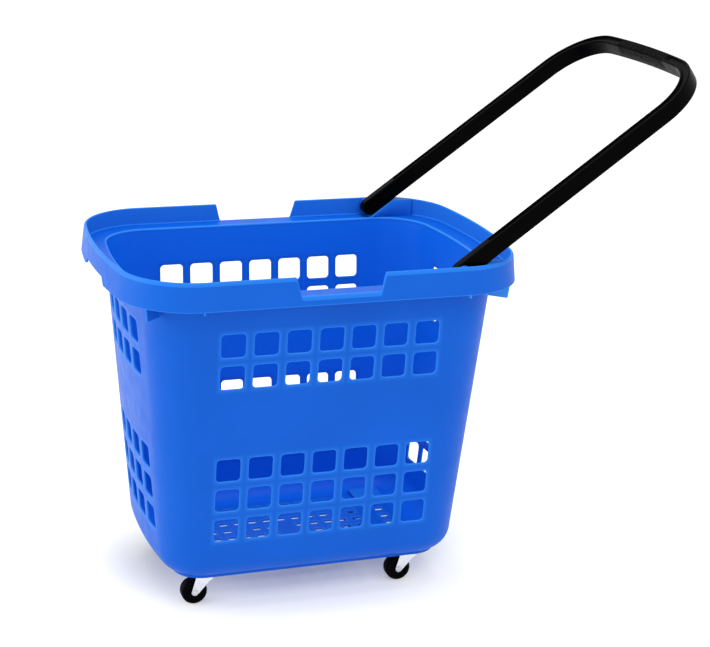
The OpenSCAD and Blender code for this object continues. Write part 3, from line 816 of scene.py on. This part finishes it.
def handle_line():
    """Half of the U's centreline, from an arm's end to mid-grip, in rows of (point, outward direction, groove depth,
    rib share, end share)."""
    length = math.hypot(1, TAPER)
    out, along = Vector((TAPER, 1)) / length, Vector((1, -TAPER)) / length
    start = Vector((0, HANDLE_W / 2 - ARM_W / 2))
    bow = Vector((HANDLE_REACH - ARM_W / 2 - BOW_R, 0))
    offset = start.dot(out) - HANDLE_R
    far = bow.dot(along) + math.sqrt((BOW_R - HANDLE_R) ** 2 - (offset - bow.dot(out)) ** 2)
    centre = out * offset + along * far
    arm_length = far - start.dot(along)
    a0 = math.atan2(out.y, out.x)
    a1 = math.atan2(centre.y - bow.y, centre.x - bow.x)
    rows = []

    def groove_at(s):
        return table(s, [(GROOVE_START - 1, 0), (GROOVE_START + 0.5, 1.4), (GROOVE_START + 3, 3)])

    half = ARM_D / 2
    ends = [-half * math.cos(rad(a)) for a in (4, 12, 22, 34, 46, 58, 70, 80)] + [0]
    body_s = [4, 12, 24, 36, 46, 50, 50.6, 51.5, 53, 54.5, 60, 75]
    n = 20
    body_s += [75 + (arm_length - 75) * i / n for i in range(1, n + 1)]
    for s in ends + body_s:
        end = math.sqrt(max(0.0, 1 - (min(0.0, s) / half) ** 2))
        rows.append((start + along * s, out, groove_at(s), 0.0, end))
    for i in range(1, 25):
        a = a0 + (a1 - a0) * i / 24
        d = Vector((math.cos(a), math.sin(a)))
        rows.append((centre + d * HANDLE_R, d, 3.0, 0.0, 1.0))
    y_start = rows[-1][0].y
    ys = [y_start - (y_start - GRIP_HALF - 4) * i / 6 for i in range(1, 7)] + [68, 66.6, 65.8, 65.2, 64.6]
    ribs = int((GRIP_HALF - 1) / RIB_PITCH)
    for k in range(ribs, -1, -1):
        ys += [k * RIB_PITCH + RIB_PITCH * f for f in (0.72, 0.5, 0.22, 0.0)]
    seen = []
    for y in ys:
        if y < 0 or y >= y_start or (seen and y >= seen[-1] - 1e-6):
            continue
        seen.append(y)
        a = math.asin(y / BOW_R)
        d = Vector((math.cos(a), math.sin(a)))
        phase = (y / RIB_PITCH) % 1.0
        rib = 1.0 if 0.1 < phase < 0.6 and y < GRIP_HALF - 1 else 0.0
        groove = table(y, [(64.6, 0), (65.8, 1.2), (68, 3)])
        rows.append((bow + d * BOW_R, d, groove, rib, 1.0))
    return rows


def handle_section(groove, rib, end):
    """The section's points (out, up): flat sides, rounded edges, a channel on top, a parting line inside."""
    a, b, r = ARM_W / 2, ARM_D / 2, 2.2
    sink = 0.55 * rib
    points = [(-4.6, b - sink), (-4.1, b - min(groove, 0.35) - sink), (-3.9, b - max(groove - 0.6, 0) - sink),
              (-3.3, b - groove - sink), (3.3, b - groove - sink), (3.9, b - max(groove - 0.6, 0) - sink),
              (4.1, b - min(groove, 0.35) - sink), (4.6, b - sink)]
    points += arc(a - r, b - r - sink, r, 80, 0, 4)
    points += [(a, 0.9), (a + 0.22, 0), (a, -0.9)]
    points += arc(a - r, -b + r, r, 0, -90, 4)
    points += arc(-a + r, -b + r, r, 270, 180, 4)
    points += [(-a + sink * 0.7, -0.9), (-a - 0.22, 0), (-a + sink * 0.7, 0.9)]
    points += [(x + sink * 0.7, y - sink) for x, y in arc(-a + r, b - r, r, 180, 100, 4)]
    return [(x, y * end) for x, y in points]


def handle_place(along, across, up):
    c, s = math.cos(rad(PULL_ANGLE)), math.sin(rad(PULL_ANGLE))
    return (PIVOT_X + along * c - up * s, across, PIVOT_Z + along * s + up * c)


def build_handle(build):
    half = handle_line()
    mirrored = [(Vector((p.x, -p.y)), Vector((d.x, -d.y)), g, r, e) for p, d, g, r, e in reversed(half)]
    if abs(half[-1][0].y) < 1e-6:
        mirrored = mirrored[1:]
    rows = []
    for p, d, groove, rib, end in half + mirrored:
        ring = []
        for out, up in handle_section(groove, rib, end):
            q = p + d * out
            ring.append(build.v(*handle_place(q.x, q.y, up)))
        rows.append(ring)
    build.rings(rows)
    for ring in (rows[0], rows[-1]):
        build.cap(ring)
    for side in (1, -1):
        root, tip = HANDLE_W / 2 - 1, HANDLE_W / 2 + 7
        profile = [(AXIS, root), (5, root), (5, tip - 0.8), (4.6, tip - 0.2), (4.0, tip), (AXIS, tip)]
        lathe(build, profile, lambda a, b, h, side=side: handle_place(a, side * h, b), 40)


handle = Build()
build_handle(handle)
handle.object("handle_bar", "handle", HANDLE_BLACK, "handle_plastic", ["handle"])


# ---------------------------------------------------------------- the casters

WHEEL_R, TRAIL, CROWN_Z = 17.0, 13.0, 38.4


def caster_place(name):
    """(x, y) of a caster's swivel axis, in millimetres in the row frame."""
    p = joints["swivel_" + name]["pos_m"]
    return p[0] / MM, p[1] / MM


def build_wheel(build, cx, cy):
    half = [(2.55, 8.1), (5.4, 8.1), (5.9, 7.8), (6.1, 7.2), (6.3, 6.0), (6.9, 5.5), (11.2, 5.4), (11.9, 5.9),
            (12.2, 6.9), (12.7, 7.4), (13.4, 7.5), (14.8, 7.5), (15.8, 7.2), (16.5, 6.5), (16.85, 5.4), (16.97, 3.5),
            (17.0, 1.2)]
    profile = half + [(r, -h) for r, h in reversed(half)]
    rows = lathe(build, profile, lambda a, b, h: (cx - TRAIL + a, cy + h, WHEEL_R + b), 72)
    build.strip(rows[-1], rows[0])


def build_fork(build, cx, cy):
    """Pressed steel: a dished crown, and two legs bent down from it that trail to the axle."""
    bore = 3.05
    crown = [(bore, CROWN_Z), (11.6, CROWN_Z), (13.8, CROWN_Z + 0.1), (14.7, CROWN_Z + 0.5), (15.0, CROWN_Z + 1.0),
             (14.8, CROWN_Z + 1.6), (14.3, CROWN_Z + 1.8), (11.2, CROWN_Z + 1.8), (10.6, CROWN_Z + 1.5),
             (9.5, CROWN_Z + 1.25), (8.4, CROWN_Z + 1.5), (7.8, CROWN_Z + 1.8), (bore, CROWN_Z + 1.8)]
    rows = lathe(build, crown, lambda a, b, h: (cx + a, cy + b, h), 48)
    build.strip(rows[-1], rows[0])
    outline = arc(-TRAIL, WHEEL_R, 4.6, 165, 315, 10)
    outline += [(4.5, 29.6), (8.2, 32.6), (10.4, 34.6), (11.2, 36.6), (11.2, CROWN_Z + 1.2), (-11.2, CROWN_Z + 1.2),
                (-12.0, 36.5), (-13.1, 33.0)]
    for side in (1, -1):
        plate(build, outline, 1.5, lambda a, b, h, side=side: (cx + a, cy + side * (9.25 + h), b), 0.35)


def build_axle(build, cx, cy):
    half = [(AXIS, 11.0), (2.2, 11.0), (3.4, 10.8), (4.0, 10.4), (4.2, 10.02), (2.5, 10.0)]
    profile = half + [(r, -h) for r, h in reversed(half)]
    lathe(build, profile, lambda a, b, h: (cx - TRAIL + a, cy + h, WHEEL_R + b), 32)


for name in CASTERS:
    cx, cy = caster_place(name)
    for maker, part, carrier, material, slot in (
        (build_wheel, "wheel", "wheel_", WHEEL_BLACK, "wheel_plastic"),
        (build_fork, "fork", "fork_", ZINC, "zinc_plate"),
        (build_axle, "axle", "fork_", STEEL, "steel"),
    ):
        piece = Build()
        maker(piece, cx, cy)
        piece.object(f"{part}_{name}", carrier + name, material, slot, [f"caster_{part}_{name}"], shift_x=0.0)
    for part, material in (("plate", ZINC), ("kingpin", ZINC), ("balls", STEEL)):
        node = frame["nodes"][f"caster_{part}_{name}"]
        node.data.materials.clear()
        node.data.materials.append(material)
screws = frame["nodes"]["caster_screws"]
screws.data.materials.clear()
screws.data.materials.append(STEEL)


# ---------------------------------------------------------------- stage, light and camera

# The floor glows, painted light that lifts it to white, and glows less under the basket: a painted shadow there.
SHADE_X, SHADE_Y, SHADE_BACK, GLOW = 0.30, 0.16, 0.06, 0.34


def stage_material():
    mat, tree, shader = new_material("pale_floor")
    tone = ramp(tree, noise(tree, 2.5, 2), 0.4, 0.6, 0.0, 1.0)
    tree.links.new(mix_colour(tree, tone, (0.74, 0.74, 0.735), (0.755, 0.755, 0.75)), shader.inputs["Base Color"])
    shader.inputs["Roughness"].default_value = 0.9
    shader.inputs["Specular IOR Level"].default_value = 0.1
    shader.inputs["Emission Color"].default_value = (1.0, 1.0, 1.0, 1)
    coords = tree.nodes.new("ShaderNodeTexCoord")
    mapping = tree.nodes.new("ShaderNodeMapping")
    mapping.inputs["Scale"].default_value = (1 / SHADE_X, 1 / SHADE_Y, 0)
    mapping.inputs["Location"].default_value = (-BASKET_X / SHADE_X, -SHADE_BACK / SHADE_Y, 0)
    distance = tree.nodes.new("ShaderNodeVectorMath")
    distance.operation = "LENGTH"
    tree.links.new(coords.outputs["Object"], mapping.inputs["Vector"])
    tree.links.new(mapping.outputs["Vector"], distance.inputs[0])
    # Painted shadow: the glow drops from GLOW to 0.10 inside the ellipse under the basket.
    tree.links.new(ramp(tree, distance.outputs["Value"], 0.6, 1.0, 0.10, GLOW), shader.inputs["Emission Strength"])
    return mat


bpy.ops.mesh.primitive_plane_add(size=60, location=(0, 0, 0))
floor = bpy.context.object
floor.name = "floor"
floor.data.materials.append(stage_material())

world = bpy.data.worlds.new("studio")
bpy.context.scene.world = world
world.use_nodes = True
background = world.node_tree.nodes["Background"]
background.inputs["Color"].default_value = (1.0, 1.0, 1.0, 1)
background.inputs["Strength"].default_value = 0.95


def softbox(name, location, target, size, power, colour=(1, 1, 1)):
    light = bpy.data.lights.new(name, "AREA")
    light.shape = "RECTANGLE"
    light.size, light.size_y = size
    light.energy = power
    light.color = colour
    obj = bpy.data.objects.new(name, light)
    obj.location = location
    obj.rotation_mode = "QUATERNION"
    obj.rotation_quaternion = (Vector(target) - Vector(location)).to_track_quat("-Z", "Y")
    bpy.context.scene.collection.objects.link(obj)


softbox("left_key", (-2.6, 0.5, 1.0), (-0.2, 0, 0.3), (1.6, 1.6), 30, (1.0, 0.96, 0.80))
softbox("top", (-0.1, 0.0, 2.8), (-0.1, 0, 0.2), (1.6, 1.6), 30)
softbox("front_high", (0.1, -2.2, 2.9), (-0.1, 0.1, 0.3), (1.4, 1.2), 16)

# The camera, fitted to the view of the object: angles in degrees, and its place from the basket's middle.
YAW, PITCH_DOWN, ROLL, LENS = -19.7958, 17.3864, 2.1168, 92.18
CAMERA_X, CAMERA_Y, CAMERA_Z = -0.697225, -2.17620, 1.06185
camera_data = bpy.data.cameras.new("camera")
camera_data.sensor_width = 36.0
camera_data.lens = LENS
camera = bpy.data.objects.new("camera", camera_data)
bpy.context.scene.collection.objects.link(camera)
yaw, pitch, roll = rad(YAW), rad(PITCH_DOWN), rad(ROLL)
forward = Vector((-math.sin(yaw) * math.cos(pitch), math.cos(yaw) * math.cos(pitch), -math.sin(pitch)))
right = forward.cross(Vector((0, 0, 1))).normalized()
up = right.cross(forward)
right, up = right * math.cos(roll) + up * math.sin(roll), up * math.cos(roll) - right * math.sin(roll)
turned = Matrix((right, up, -forward)).transposed().to_4x4()
camera.matrix_world = Matrix.Translation((BASKET_X + CAMERA_X, CAMERA_Y, CAMERA_Z)) @ turned
bpy.context.scene.camera = camera
bpy.context.scene.view_settings.view_transform = "Standard"
